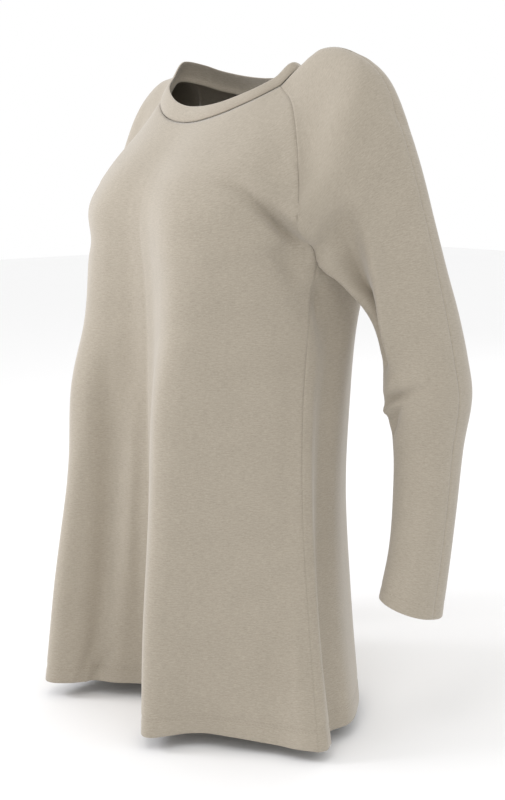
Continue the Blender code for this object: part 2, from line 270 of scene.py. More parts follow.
def cubic_resample(grid: Array, at: Array, axis: int) -> Array:
    """Resamples a grid along one axis with a curve that passes through its points.

    Args:
        grid: rows, columns and coordinates.
        at: places along the axis, in grid steps.
        axis: 0 for rows, 1 for columns.

    Returns:
        The resampled grid.
    """
    g = np.moveaxis(grid, axis, 0)
    padded = np.concatenate([2 * g[:1] - g[1:2], g, 2 * g[-1:] - g[-2:-1]])
    i = np.clip(np.floor(at).astype(int), 0, len(g) - 2)
    t = (at - i)[:, None, None]
    p0, p1, p2, p3 = (padded[i + k] for k in range(4))
    out = 0.5 * (2 * p1 + (p2 - p0) * t + (2 * p0 - 5 * p1 + 4 * p2 - p3) * t**2
                 + (3 * p1 - p0 - 3 * p2 + p3) * t**3)
    return np.moveaxis(out, 0, axis)


# Folds laid on the cloth
FOLD_UNITS = (1000, 1000, 1000, 10)  # a fold's points are in millimetres and in tenths of its height
FOLD_END = 3.2  # widths from its line at which a fold is no longer felt
FOLD_LEAN = 0.45  # share by which a leaning fold's steep flank is narrower


@dataclass(frozen=True)
class Fold:
    """A soft trough (negative height) or ridge (positive height) along a line in space.

    height, and width to either side, are in millimetres. pieces says how the names of its panels start.
    points are (x, y, z, share of the height) in FOLD_UNITS, and lean sharpens one flank.
    """

    height: float
    width: float
    pieces: str
    points: tuple[tuple[float, ...], ...]
    lean: Triple = (0.0, 0.0, 0.0)

    def mirrored(self, share: float, shift: float) -> "Fold":
        """The same fold on the other side, at a share of its height and shifted down, in millimetres."""
        return Fold(self.height * share, self.width, self.pieces.replace("left", "right"),
                    tuple((-x, y, z - shift, s) for x, y, z, s in self.points), (-self.lean[0], *self.lean[1:]))

    def rise(self, surface: Array) -> Array:
        """How far the fold lifts each point of a surface.

        Args:
            surface: points, in metres.

        Returns:
            The rise along the normal at each point, in metres.
        """
        given, width = np.array(self.points) / FOLD_UNITS, self.width / 1000
        at = np.linspace(0, len(given) - 1, 5 * (len(given) - 1) + 1)
        line = cubic_resample(given[:, None, :], at, 0)[:, 0]
        line, share = line[:, :3], np.clip(line[:, 3], 0, 1)
        flat = surface.reshape(-1, 3)
        low, high = line.min(axis=0) - FOLD_END * width, line.max(axis=0) + FOLD_END * width
        close = ((flat > low) & (flat < high)).all(axis=1)
        near = flat[close]
        best = np.full(len(near), np.inf)
        level, side = np.zeros(len(near)), np.zeros(len(near))
        for a, b, sa, sb in zip(line[:-1], line[1:], share[:-1], share[1:]):
            step = b - a
            t = np.clip((near - a) @ step / (step @ step), 0, 1)
            off = near - (a + t[:, None] * step)
            far = norm(off, axis=1)
            closer = far < best
            best[closer] = far[closer]
            level[closer] = (sa + (sb - sa) * t)[closer]
            side[closer] = (off @ np.array(self.lean))[closer]
        reach = width * (1 - FOLD_LEAN * np.tanh(side / width))
        out = np.zeros(len(flat))
        out[close] = self.height / 1000 * level * np.exp(-(best / reach) ** 2)
        return out.reshape(surface.shape[:-1])


@dataclass(frozen=True)
class Hollow:
    """A round soft dip: where, how far it reaches along each axis, its height, and its panels."""

    centre: Triple
    reach: Triple
    height: float
    pieces: str

    def rise(self, surface: Array) -> Array:
        """How far it lifts each point of a surface, along the normal, in metres."""
        away = (surface - np.array(self.centre)) / np.array(self.reach)
        return self.height * np.exp(-(away**2).sum(axis=-1))


# Cloth walls from grids
def unit(v: Array) -> Array:
    """Vectors of length one along the same directions."""
    return v / np.maximum(norm(v, axis=-1, keepdims=True), 1e-12)


def lengths_along(points: Array, axis: int = 0) -> Array:
    """Length from the first point to each point of a line, or of a grid's lines along an axis."""
    steps = norm(np.diff(points, axis=axis), axis=-1)
    return np.concatenate([np.zeros_like(steps.take([0], axis)), steps.cumsum(axis)], axis)


def middle_up(grid: Array) -> Array:
    """Height of each row above the foot along the middle column, foot first."""
    return lengths_along(grid[::-1, grid.shape[1] // 2])


def grid_normals(grid: Array) -> Array:
    """Unit normal at each point of a grid of points."""
    return unit(np.cross(np.gradient(grid, axis=0), np.gradient(grid, axis=1)))


def lay_flat(grid: Array) -> Array:
    """Where each point lies on the flat cloth, in metres: down its column, and across from the middle one."""
    middle = grid.shape[1] // 2
    across = lengths_along(grid, 1)
    across -= across[:, middle:middle + 1]
    down = lengths_along(grid[:, middle])
    return np.stack([across, -np.broadcast_to(down[:, None], across.shape)], axis=-1)


def mesh_of(bm: bmesh.types.BMesh, name: str) -> Mesh:
    """The named mesh of a finished edit, which ends here."""
    mesh = bpy.data.meshes.new(name)
    bm.to_mesh(mesh)
    bm.free()
    return mesh


def linked(name: str, data: bpy.types.ID) -> Object:
    """A new object of the scene that holds the data."""
    made = bpy.data.objects.new(name, data)
    bpy.context.scene.collection.objects.link(made)
    return made


def cloth_sheet(name: str, grid: Array, finish: Material, thickness: float,
                closed: bool = False) -> Object:
    """A sheet of cloth through a grid of points, with a wall laid inwards.

    Args:
        name: of the piece.
        grid: rows, columns and coordinates, whose normals (rows down, columns across) point outwards.
        finish: of the cloth.
        thickness: of the cloth.
        closed: the last column is the first one again.

    Returns:
        The finished object.
    """
    rows, columns = grid.shape[:2]
    flat, wanted = lay_flat(grid), grid_normals(grid)
    bm = bmesh.new()
    bmesh.ops.create_grid(bm, x_segments=columns - 1, y_segments=rows - 1, size=0.5, calc_uvs=True)
    uv = bm.loops.layers.uv.active or bm.loops.layers.uv.new("cloth")
    place = {v: (round((0.5 - v.co.y) * (rows - 1)), round((v.co.x + 0.5) * (columns - 1))) for v in bm.verts}
    for v, spot in place.items():
        v.co = Vector(grid[spot])
    for face in bm.faces:
        face.smooth = True
        for loop in face.loops:
            loop[uv].uv = flat[place[loop.vert]]
    bm.normal_update()
    if sum(1 if v.normal.dot(Vector(wanted[spot])) > 0 else -1 for v, spot in place.items()) < 0:
        bmesh.ops.reverse_faces(bm, faces=bm.faces[:])
    if closed:
        bmesh.ops.remove_doubles(bm, verts=bm.verts[:], dist=1e-6)
    piece = linked(name, mesh_of(bm, name))
    piece.data.uv_layers[0].name = "cloth"
    piece.data.materials.append(finish)
    wall = piece.modifiers.new("wall", "SOLIDIFY")
    wall.thickness, wall.offset = thickness, -1.0
    return piece


# Finishes
def filled(node: Node, values: dict[str, object]) -> Node:
    """The same node, with values set on its inputs by name."""
    for name, value in values.items():
        node.inputs[name].default_value = value
    return node


def join(tree: NodeTree, *wires: tuple) -> None:
    """Links nodes of a tree, each wire given as (from, output, to, input)."""
    for source, output, target, entry in wires:
        tree.links.new(source.outputs[output], target.inputs[entry])


def colour_mix(tree: NodeTree) -> Node:
    """A node that mixes two colours."""
    mix = tree.nodes.new("ShaderNodeMix")
    mix.data_type = "RGBA"
    return mix


def new_material(name: str, values: dict[str, object]) -> Material:
    """A material whose main shader has the given values."""
    made = bpy.data.materials.new(name)
    made.use_nodes = True
    filled(made.node_tree.nodes["Principled BSDF"], values)
    return made


def jersey_group() -> NodeTree:
    """Node group of the knit: courses across, slubs along them, fine wales down, and patches of heather.

    Returns:
        The group, with inputs Cloth Place, Base, Deep, Slub and Grain and outputs Color, Roughness and Height.
    """
    tree = bpy.data.node_groups.new("jersey_knit", "ShaderNodeTree")
    for way, kind, names in (
            ("INPUT", "NodeSocketVector", ("Cloth Place",)), ("INPUT", "NodeSocketColor", ("Base", "Deep")),
            ("INPUT", "NodeSocketFloat", ("Slub", "Grain")), ("OUTPUT", "NodeSocketColor", ("Color",)),
            ("OUTPUT", "NodeSocketFloat", ("Roughness", "Height"))):
        for name in names:
            tree.interface.new_socket(name, in_out=way, socket_type=kind)
    nodes, links = tree.nodes, tree.links
    entry, leave = nodes.new("NodeGroupInput"), nodes.new("NodeGroupOutput")

    def noise(stretch: float, size: float, detail: float, rough: float) -> NodeSocket:
        """Noise over the cloth's own place, drawn out across it."""
        mapping = filled(nodes.new("ShaderNodeMapping"), {"Scale": (1.0, stretch, 1.0)})
        cloud = filled(nodes.new("ShaderNodeTexNoise"), {"Scale": size, "Detail": detail, "Roughness": rough})
        join(tree, (entry, "Cloth Place", mapping, "Vector"), (mapping, "Vector", cloud, "Vector"))
        return cloud.outputs["Fac"]

    def maths(kind: str, a: object, b: object, clamp: bool = False) -> NodeSocket:
        """Result of one sum on two sockets or numbers."""
        node = nodes.new("ShaderNodeMath")
        node.operation, node.use_clamp = kind, clamp
        for i, value in enumerate((a, b)):
            if isinstance(value, (int, float)):
                node.inputs[i].default_value = value
            else:
                links.new(value, node.inputs[i])
        return node.outputs[0]

    def stray(cloud: NodeSocket, share: object) -> NodeSocket:
        """How far a noise is from its middle, times a share."""
        return maths("MULTIPLY", maths("SUBTRACT", cloud, 0.5), share)

    slub, fine, heather = noise(6.0, 150.0, 3.0, 0.6), noise(3.2, 420.0, 2.0, 0.6), noise(1.6, 22.0, 3.0, 0.55)
    wale = filled(nodes.new("ShaderNodeTexWave"), {"Scale": 165.0, "Distortion": 1.2, "Detail": 1.0})
    wale.wave_type, wale.bands_direction = "BANDS", "X"
    yarn = maths("ADD", stray(slub, entry.outputs["Slub"]), stray(fine, entry.outputs["Grain"]))
    tone = maths("ADD", maths("ADD", yarn, stray(heather, 0.3)), 0.5, True)
    mix = colour_mix(tree)
    links.new(tone, mix.inputs["Factor"])
    join(tree, (entry, "Cloth Place", wale, "Vector"), (entry, "Deep", mix, "A"), (entry, "Base", mix, "B"),
         (mix, "Result", leave, "Color"))
    links.new(maths("ADD", maths("MULTIPLY", fine, 0.12), 0.80), leave.inputs["Roughness"])
    stitches = maths("ADD", maths("MULTIPLY", fine, 0.3), maths("MULTIPLY", wale.outputs["Fac"], 0.15))
    links.new(maths("ADD", maths("MULTIPLY", slub, 0.55), stitches), leave.inputs["Height"])
    return tree


@dataclass(frozen=True)
class JerseyFinish:
    """Matt viscose jersey: its two yarn tones, how strong its slubs and grain are, its relief and sheen."""

    name: str = "beige_jersey"
    base: Triple = (0.455, 0.402, 0.327)
    deep: Triple = (0.312, 0.274, 0.217)
    slub: float = 1.3
    grain: float = 1.2
    relief: float = 0.00025
    sheen: float = 0.35

    def material(self, group: NodeTree) -> Material:
        """The finish as a material.

        Args:
            group: the knit's node group.

        Returns:
            The material.
        """
        made = new_material(self.name, {"Sheen Weight": self.sheen, "Sheen Roughness": 0.5,
                                        "Specular IOR Level": 0.25})
        tree = made.node_tree
        shader, knit = tree.nodes["Principled BSDF"], tree.nodes.new("ShaderNodeGroup")
        knit.node_tree = group
        filled(knit, {"Base": (*self.base, 1), "Deep": (*self.deep, 1), "Slub": self.slub, "Grain": self.grain})
        place = tree.nodes.new("ShaderNodeUVMap")
        place.uv_map = "cloth"
        bump = filled(tree.nodes.new("ShaderNodeBump"), {"Strength": 0.6, "Distance": self.relief})
        join(tree, (place, "UV", knit, "Cloth Place"), (knit, "Color", shader, "Base Color"),
             (knit, "Roughness", shader, "Roughness"), (knit, "Height", bump, "Height"),
             (bump, "Normal", shader, "Normal"))
        return made


@dataclass(frozen=True)
class ThreadFinish:
    """Sewing thread in the cloth's own tone, a little deeper."""

    name: str = "sewing_thread"
    light: Triple = (0.35, 0.31, 0.245)
    deep: Triple = (0.25, 0.215, 0.165)

    def material(self) -> Material:
        """The finish as a material, with the ply's twist in its colour."""
        made = new_material(self.name, {"Roughness": 0.7})
        tree = made.node_tree
        place, mix = tree.nodes.new("ShaderNodeTexCoord"), colour_mix(tree)
        cloud = filled(tree.nodes.new("ShaderNodeTexNoise"), {"Scale": 1500.0})
        filled(mix, {"A": (*self.deep, 1), "B": (*self.light, 1)})
        join(tree, (place, "Object", cloud, "Vector"), (cloud, "Fac", mix, "Factor"),
             (mix, "Result", tree.nodes["Principled BSDF"], "Base Color"))
        return made


# The folds
LEFT_FOLDS = (
    # cloth stretched from the bust over the raglan seam to the arm
    Fold(6.2, 16.5, "front sleeve_front_left", ((112, -30, -36, 0), (126, -34, -52, 3.5), (148, -45, -86, 6),
         (157, -52, -110, 8), (164, -57, -132, 10), (169, -59, -152, 10), (171, -60, -166, 4))),
    # crease from the bust down to the underarm, with its upper lip over it
    Fold(-17, 6.6, "front", ((106, -119, -119, 0), (118, -111, -124, 1.8), (131, -101, -133, 3.8),
         (145, -92, -145, 6.6), (157, -80, -159, 9.5), (165, -69, -173, 10), (170, -58, -185, 8.5),
         (173, -49, -196, 5), (175, -42, -205, 1)), (0.0, 0.0, 1.0)),
    Fold(-5.5, 20, "front", ((118, -113, -140, 0), (136, -100, -160, 5), (152, -84, -182, 10),
         (162, -60, -202, 7))),
    Fold(6, 9.5, "front sleeve_front_left", ((126, -102, -114, 0), (143, -92, -126, 4), (157, -79, -142, 8),
         (168, -63, -158, 10), (177, -49, -176, 8), (185, -38, -192, 2))),
    # hollow of the web between the body and the upright fold of the sleeve
    Fold(-27, 13.5, "sleeve_front_left", ((196, -33, -115, 0), (200, -31, -148, 2), (204, -27, -178, 5),
         (209, -22, -205, 8.5), (214, -18, -230, 10), (217, -12, -253, 10), (218, -4, -278, 9),
         (219, 4, -304, 3.5)), (1.0, 0.0, 0.0)),
    # lower edge of the sleeve drawn up beside the underarm, over the hollow of the body's side
    Fold(-7, 13, "sleeve_front_left sleeve_back_left", ((186, -38, -214, 2), (192, -34, -234, 9),
         (200, -29, -252, 10), (209, -21, -271, 7), (216, -12, -292, 1))),
    Fold(-16, 19, "back", ((171, -36, -222, 3), (171, -28, -242, 10), (169, -18, -270, 6), (167, -6, -310, 0))),
    Fold(-6, 13, "front", ((156, -80, -188, 3), (163, -66, -204, 10), (166, -56, -226, 7), (166, -50, -268, 0))),
    Fold(8.5, 8.5, "sleeve_front_left", ((214, -18, -118, 0), (217, -17, -150, 3), (221, -14, -180, 7),
         (227, -12, -207, 10), (232, -10, -236, 10), (234, -6, -264, 10), (235, 0, -288, 7), (237, 6, -318, 0))),
    # creases in the bend of the elbow
    Fold(-8.5, 5.5, "sleeve", ((224, 14, -350, 6), (238, 10, -342, 10), (252, 10, -337, 8), (268, 18, -331, 3),
         (282, 32, -325, 0))),
    Fold(-7, 4.8, "sleeve", ((222, 18, -367, 6), (236, 12, -357, 10), (250, 10, -347, 5), (264, 14, -341, 0))),
    Fold(-5.5, 5, "sleeve", ((221, 22, -384, 7), (231, 15, -371, 10), (243, 12, -359, 3), (252, 11, -352, 0))),
    Fold(6, 6.5, "sleeve", ((221, 20, -358, 9), (238, 11, -350, 10), (255, 11, -342, 5), (270, 19, -337, 0))),
    Fold(3.5, 8, "sleeve", ((222, 12, -338, 6), (236, 8, -330, 10), (252, 8, -325, 6), (268, 16, -319, 0))),
    Fold(-2, 11, "sleeve", ((262, 12, -380, 0), (268, 6, -430, 9), (270, -3, -480, 10), (272, -12, -530, 0))),
    # small pull beside the overarm seam below the shoulder
    Fold(-2, 5.5, "sleeve", ((208, 8, -42, 0), (216, 18, -50, 10), (222, 30, -62, 10), (226, 46, -78, 0))),
    # crest of cloth that stands beside the side seam, behind it
    Fold(3, 6, "back", ((168, -36, -300, 0), (173, -42, -360, 3), (180, -48, -440, 6), (192, -52, -520, 9),
         (208, -58, -595, 10), (232, -72, -670, 10), (240, -78, -700, 10))),
    Fold(-2.5, 12, "front", ((160, -60, -280, 0), (162, -66, -380, 7), (168, -76, -480, 10), (180, -88, -600, 10),
         (196, -100, -700, 10))),
)

SKIRT_FOLDS = (
    # far ridge, valley and flank, two pulls at the far hem, near swell, dip and pull, and a dip across
    Fold(5, 15, "front", ((-60, -160, -300, 0), (-68, -166, -396, 5), (-78, -172, -454, 8), (-84, -178, -511, 10),
         (-88, -184, -568, 10), (-94, -194, -690, 8))),
    Fold(-8.5, 14, "front", ((-44, -148, -310, 0), (-42, -148, -384, 4.5), (-43, -149, -440, 7.5),
         (-46, -151, -497, 9), (-49, -153, -555, 10), (-53, -157, -613, 10), (-56, -163, -690, 9))),
    Fold(3.5, 9.5, "front", ((-16, -134, -330, 0), (-17, -136, -394, 7), (-20, -136, -450, 10),
         (-24, -137, -508, 9), (-28, -138, -566, 6), (-32, -138, -640, 0))),
    Fold(-3, 4.8, "front", ((-39, -145, -630, 0), (-47, -153, -655, 9), (-55, -162, -675, 10),
         (-61, -168, -692, 7))),
    Fold(-2.6, 4.5, "front", ((-52, -160, -612, 0), (-58, -167, -643, 8), (-65, -174, -670, 10),
         (-70, -178, -692, 7))),
    Fold(3.5, 24, "front", ((128, -140, -460, 0), (140, -145, -560, 8), (158, -154, -690, 10))),
    Fold(-4.5, 15, "front", ((160, -100, -480, 0), (172, -105, -570, 6), (187, -112, -629, 10),
         (206, -122, -695, 10))),
    Fold(3, 9, "front", ((176, -84, -500, 0), (190, -88, -570, 7), (208, -94, -628, 10), (230, -104, -690, 8))),
    Fold(-1.8, 20, "front", ((60, -150, -300, 0), (100, -140, -330, 8), (140, -105, -350, 10),
         (160, -70, -362, 5))),
)

BACK_FOLDS = (
    # line down the middle, a ridge on either side, a dip on the right, and blade to underarm twice
    Fold(-5, 22, "back", ((20, 100, -250, 0), (14, 94, -340, 8), (16, 86, -450, 10), (24, 80, -560, 9),
         (30, 78, -690, 9))),
    Fold(4.5, 20, "back", ((70, 95, -280, 0), (76, 85, -380, 8), (84, 78, -500, 10), (95, 76, -690, 10))),
    Fold(4, 18, "back", ((-50, 100, -300, 0), (-56, 90, -420, 8), (-60, 82, -560, 10), (-70, 80, -690, 10))),
    Fold(-3.5, 16, "back", ((-95, 75, -360, 0), (-100, 66, -470, 8), (-108, 62, -580, 10), (-118, 60, -690, 10))),
    Fold(-4.5, 9, "back sleeve_back_left", ((105, 96, -150, 0), (130, 84, -165, 7), (148, 66, -180, 10),
         (160, 40, -196, 8))),
    Fold(-4, 9, "back sleeve_back_right", ((-100, 98, -152, 0), (-122, 86, -170, 7), (-140, 68, -186, 10),
         (-152, 44, -200, 8))),
)

HOLLOWS = (Hollow((0.012, -0.130, -0.640), (0.030, 0.05, 0.10), -0.004, "front"),)

# Lines along a panel's sewn sides, its top line, and the lines one step further in
SIDES = (np.s_[:, 0], np.s_[:, -1])
EDGES = (*SIDES, np.s_[0, :])
INNER_LINES = (np.s_[:, 1], np.s_[:, -2], np.s_[1, :])


def all_folds() -> tuple[Fold, ...]:
    """Every fold on the top, with softer ones on the side away from the view."""
    right = tuple(f.mirrored(0.75, 6 if i % 2 else -4) for i, f in enumerate(LEFT_FOLDS))
    return LEFT_FOLDS + right + SKIRT_FOLDS + BACK_FOLDS


def spot(point: Array) -> tuple:
    """A place to a hundredth of a millimetre, to find it again on the panel beside it."""
    return tuple(np.round(point, 5))


@dataclass
class Pattern:
    """Fine grids of all the panels, drafted, folded and drawn back along their seams."""

    draft: Draft = field(default_factory=Draft)
    base_step: float = 0.25
    row_pitch: float = 0.0030
    roll: float = 0.0008
    roll_reach: float = 0.0014
    ease: float = 0.014
    pucker: float = 0.00028
    pucker_pitch: float = 0.011
    pucker_swell: float = 0.047
    grids: dict[str, Array] = field(default_factory=dict)
    normals: dict[str, Array] = field(default_factory=dict)

    def even_places(self, line: list[Array], places: Array) -> Array:
        """Places along a line drafted at the given places that lie about one row pitch apart."""
        length = lengths_along(np.array(line) * MM)
        count = max(int(round(length[-1] / self.row_pitch)), 4)
        return np.interp(np.linspace(0, length[-1], count + 1), length, places)

    def sewn_columns(self, count: int, close: float, both: bool) -> Array:
        """Column places from 0 to 1, closer in a band beside the last edge or both edges."""
        near = np.array([0.0, 0.07, 0.16, 0.28, 0.45, 0.68, 1.0]) * close
        if both:
            return np.concatenate([near, np.linspace(close, 1 - close, count + 1)[1:-1], 1 - near[::-1]])
        return np.concatenate([np.linspace(0, 1 - close, count + 1)[:-1], 1 - near[::-1]])

    def fine_grid(self, make: Callable[[float, float], Array], columns: Array, last_row: int,
                  row_places: Array, column_places: Array) -> Array:
        """Fine grid through drafted points, exact along the corner at the underarm.

        Args:
            make: point of the draft for a column and a row.
            columns: coarse columns, evenly spaced.
            last_row: last table row.
            row_places: fine rows, in table rows.
            column_places: fine columns, 0 to 1.

        Returns:
            The fine grid, in metres.
        """
        parts = []
        for low, high in ((0, UNDERARM_ROW), (UNDERARM_ROW, last_row)):
            rows = np.arange(low, high + 1e-9, self.base_step)
            wanted = row_places[(row_places >= low) & (row_places <= high)]
            if low:  # just below the corner, and its own row is there already
                rows[0] += 1e-6
                wanted = wanted[wanted > low]
            coarse = np.array([[make(c, r) for c in columns] for r in rows]) * MM
            parts.append(cubic_resample(coarse, (wanted - low) / self.base_step, 0))
        return cubic_resample(np.concatenate(parts), column_places * (len(columns) - 1), 1)

    def draft_all(self) -> None:
        """Drafts the six panels."""
        d = self.draft
        cap = np.arange(0, UNDERARM_ROW + 0.01, 0.1)
        body = np.arange(UNDERARM_ROW, HEM_ROW + 0.01, 0.25)
        arm = np.arange(UNDERARM_ROW, CUFF_ROW + 0.01, 0.25)
        cap_rows = self.even_places([d.panel_point(Half.FRONT, 1, 3, r) for r in cap], cap)
        side_rows = self.even_places([d.panel_point(Half.FRONT, 1, 1.5, r) for r in body], body)
        under_rows = self.even_places([d.overarm_at(1, r)[0] for r in arm], arm)
        body_rows = np.concatenate([cap_rows, side_rows[1:]])
        arm_rows = np.concatenate([cap_rows, under_rows[1:]])
        body_fine, arm_fine = self.sewn_columns(84, 0.026, False), self.sewn_columns(52, 0.050, True)
        for half, span, fine in ((Half.FRONT, 3, body_fine), (Half.BACK, 4, 1 - body_fine[::-1])):
            columns = np.linspace(0, span, 4 * span + 1)
            right, left = (self.fine_grid(lambda c, r, s=side: d.panel_point(half, s, c, r), columns, HEM_ROW,
                                          body_rows, fine) for side in (-1, 1))
            if half is Half.FRONT:
                self.grids[half.value] = np.concatenate([right[:, ::-1], left[:, 1:]], axis=1)
            else:
                self.grids[half.value] = np.concatenate([right, left[:, ::-1][:, 1:]], axis=1)[:, ::-1]
        for side, word in ((1, "left"), (-1, "right")):
            for half in Half:
                grid = self.fine_grid(lambda c, r: d.sleeve_point(half, side, c, r), np.linspace(0, 1, 13),
                                      CUFF_ROW, arm_rows, arm_fine)
                if (half is Half.FRONT) != (side > 0):
                    grid = grid[:, ::-1]
                self.grids[f"sleeve_{half.value}_{word}"] = grid

    def gather(self, values: dict[str, Array], edges: tuple) -> dict[tuple, list[Array]]:
        """Views of the values of all panels that meet at each place along their edges."""
        met: dict[tuple, list[Array]] = {}
        for name, grid in self.grids.items():
            for edge in edges:
                for p, value in zip(grid[edge], values[name][edge]):
                    met.setdefault(spot(p), []).append(value)
        return met

    def face_out(self) -> None:
        """Normals of each panel, pointing away from the hollow and evened out along the seams."""
        for name, grid in self.grids.items():
            inside = np.array((0, -0.02, -0.35)) * GRADE
            if name.startswith("sleeve"):
                inside = np.array((0.2 if name.endswith("left") else -0.2, 0.02, -0.28)) * GRADE
            normals = grid_normals(grid)
            if normals.reshape(-1, 3).mean(axis=0) @ (grid.reshape(-1, 3).mean(axis=0) - inside) < 0:
                grid = grid[:, ::-1]
                normals = grid_normals(grid)
            self.grids[name], self.normals[name] = grid, normals
        met = self.gather(self.normals, EDGES)
        for name, grid in self.grids.items():
            for edge in EDGES:
                own = self.normals[name][edge]
                for i, p in enumerate(grid[edge]):
                    like = [n for n in met[spot(p)] if n @ own[i] > 0.2]
                    own[i] = unit(np.sum(like, axis=0)) if like else own[i]

    def edge_distance(self, grid: Array) -> Array:
        """Distance of each point from the nearest sewn edge, along its row or column, in metres."""
        run = lengths_along(grid, 1)
        return np.minimum(np.minimum(run, run[:, -1:] - run), lengths_along(grid))

    def agree(self, moves: dict[str, Array]) -> None:
        """Brings the moves of neighbours together at their seams, one panel after another, in place."""
        met = self.gather(moves, SIDES)
        for name, grid in self.grids.items():
            run = lengths_along(grid, 1)
            change = np.zeros_like(grid)
            for edge, far in zip(SIDES, (run, run[:, -1:] - run)):
                lack = np.array([np.mean(met[spot(p)], axis=0) for p in grid[edge]]) - moves[name][edge]
                change += lack[:, None] * np.exp(-(far / self.ease) ** 2)[..., None]
            moves[name] += change

    def fold_all(self) -> None:
        """Lays the folds on every panel, rolls its sewn edges in and draws them back a little."""
        folds = (*all_folds(), *HOLLOWS)
        moves = {}
        for name, grid in self.grids.items():
            rise = np.zeros(grid.shape[:2])
            for fold in folds:
                if name.startswith(tuple(fold.pieces.split())):
                    rise += fold.rise(grid)
            away = self.edge_distance(grid)
            rise -= self.roll * np.exp(-(away / self.roll_reach) ** 2)
            turn, height = 2 * math.pi, grid[..., 2]
            wave = np.sin(height * turn / self.pucker_pitch + 7 * grid[..., 0]) * np.sin(
                height * turn / self.pucker_swell + 40 * grid[..., 1])
            rise += self.pucker * wave * np.exp(-((away - 0.005) / 0.004) ** 2)
            moves[name] = self.normals[name] * rise[..., None]
        self.agree(moves)
        for name, grid in self.grids.items():
            moved = grid + moves[name]
            for edge, inner in zip(EDGES, INNER_LINES):
                moved[edge] += unit(moved[inner] - moved[edge]) * SEAM_GAP * 0.35
            self.grids[name], self.normals[name] = moved, grid_normals(moved)

    def neck_loop(self) -> Array:
        """Closed line of the neck seam, in metres."""
        d = self.draft
        runs: list[Array] = []
        steps, short = np.linspace(0, 1, 24, endpoint=False), np.linspace(0, 1, 4, endpoint=False)
        for side in (1, -1):
            run = [d.panel_point(Half.FRONT, side, 3 * s, 0) for s in steps]
            run += [d.sleeve_point(Half.FRONT, side, s, 0) for s in short]
            run += [d.sleeve_point(Half.BACK, side, 1 - s, 0) for s in short]
            run += [d.panel_point(Half.BACK, side, 4 * s, 0) for s in steps]
            runs += run + [d.panel_point(Half.BACK, side, 4, 0)] if side > 0 else run[1:][::-1]
        return np.array(runs) * MM


# The pieces
@dataclass
class Panel:
    """One cut panel: its flat size and area, the turned-up edge at its foot and the stitching above it."""

    name: str
    flat: tuple[float, float]
    area: float
    turn_up: float
    stitch_rows: tuple[float, ...]
    cloth: float = 0.0011
    fold_radius: float = 0.00115
    press: float = 0.00045
    press_reach: float = 0.0018

    def turned_up(self, grid: Array, normals: Array) -> Array:
        """The grid carried round the edge's fold and up the inside.

        Args:
            grid: the panel, top to foot.
            normals: outward.

        Returns:
            The longer grid.
        """
        foot, out = grid[-1], normals[-2]
        down = unit(grid[-1] - grid[-3])
        extra = [foot - out * self.fold_radius * (1 - math.cos(angle))
                 + down * self.fold_radius * math.sin(angle) * 0.8 for angle in HALF_TURN]
        rows = int(np.searchsorted(middle_up(grid), self.turn_up))
        for k in range(1, rows + 1):
            inside = grid[-1 - k] - normals[-1 - k] * self.fold_radius * 2
            inside[0] = grid[-1 - k, 0] - normals[-1 - k, 0] * self.fold_radius * 2.3
            extra.append(inside)
        return np.concatenate([grid, np.array(extra)])

    def crease_foot(self, pattern: Pattern) -> tuple[Array, Array]:
        """The panel's grid with its lines of stitching pressed in a little above the foot, and its normals."""
        grid, normals = pattern.grids[self.name], pattern.normals[self.name]
        up = middle_up(grid)[::-1]
        press = np.zeros(len(grid))
        for line in self.stitch_rows:
            press += self.press * np.exp(-((up - line) / self.press_reach) ** 2)
        return grid - normals * press[:, None, None], normals

    def build(self, pattern: Pattern, finish: Material) -> Object:
        """Builds and dresses the panel from the drafted and folded grids."""
        return cloth_sheet(self.name + "_cloth", self.turned_up(*self.crease_foot(pattern)), finish, self.cloth)


@dataclass
class Neckband:
    """Folded strip round the neck, with its seam pressed in."""

    flat: tuple[float, float] = (0.57, 0.040)
    cloth: float = 0.0011
    columns: int = 240
    rows: int = 9
    belly: float = 0.0004
    pressed: float = 0.0001
    fold_radius: float = 0.00135
    fold_rise: float = 0.0011
    tucked_in: float = 0.0029

    def grid(self, pattern: Pattern) -> Array:
        """The strip's grid, from the seam up over its fold and down the inside."""
        loop = pattern.neck_loop()
        closed = np.concatenate([loop, loop[:1]])
        length = lengths_along(closed)
        base = np.linspace(0, length[-1], self.columns + 1)
        loop = np.stack([np.interp(base, length, closed[:, k]) for k in range(3)], axis=1)[:-1]
        for _ in range(4):
            loop = (np.roll(loop, 1, 0) + 2 * loop + np.roll(loop, -1, 0)) / 4
        inward = unit(np.array((0, loop[:, 1].mean(), 0)) - loop * (1, 1, 0))
        toward_left = np.clip(-inward[:, :1], 0, 1) ** 1.5
        upright = np.array((0, 0, 1))
        rows = []
        for k in np.linspace(0, 1, self.rows):
            lean = BAND_LEAN * (k * 0.55 + 0.45 * k * k) * (1 - 0.4 * toward_left)
            rise = SEAM_GAP * 0.5 + BAND_RISE * k * (1 - LEFT_LOW * toward_left)
            belly = self.belly * math.sin(math.pi * min(k * 1.1, 1.0)) - self.pressed * math.exp(-(k / 0.08) ** 2)
            rows.append(loop + inward * (lean - belly) + upright * rise)
        top, up = rows[-1], unit(rows[-1] - rows[-2])
        inner = [top + inward * self.fold_radius * (1 - math.cos(angle)) + up * self.fold_rise * math.sin(angle)
                 for angle in HALF_TURN]
        inner += [row + inward * (2 * self.fold_radius) for row in rows[-2::-1]]
        inner += [rows[0] + inward * self.tucked_in - upright * drop for drop in (0.002, 0.004, 0.006)]
        whole = np.array(rows + inner)
        return np.concatenate([whole, whole[:, :1]], axis=1)

    def build(self, pattern: Pattern, finish: Material) -> Object:
        """Builds and dresses the band."""
        grid = self.grid(pattern)
        if grid_normals(grid)[0, 0] @ (grid[0, 0] - grid[0].mean(axis=0)) < 0:
            grid = grid[:, ::-1]
        return cloth_sheet("neckband_cloth", grid, finish, self.cloth, closed=True)


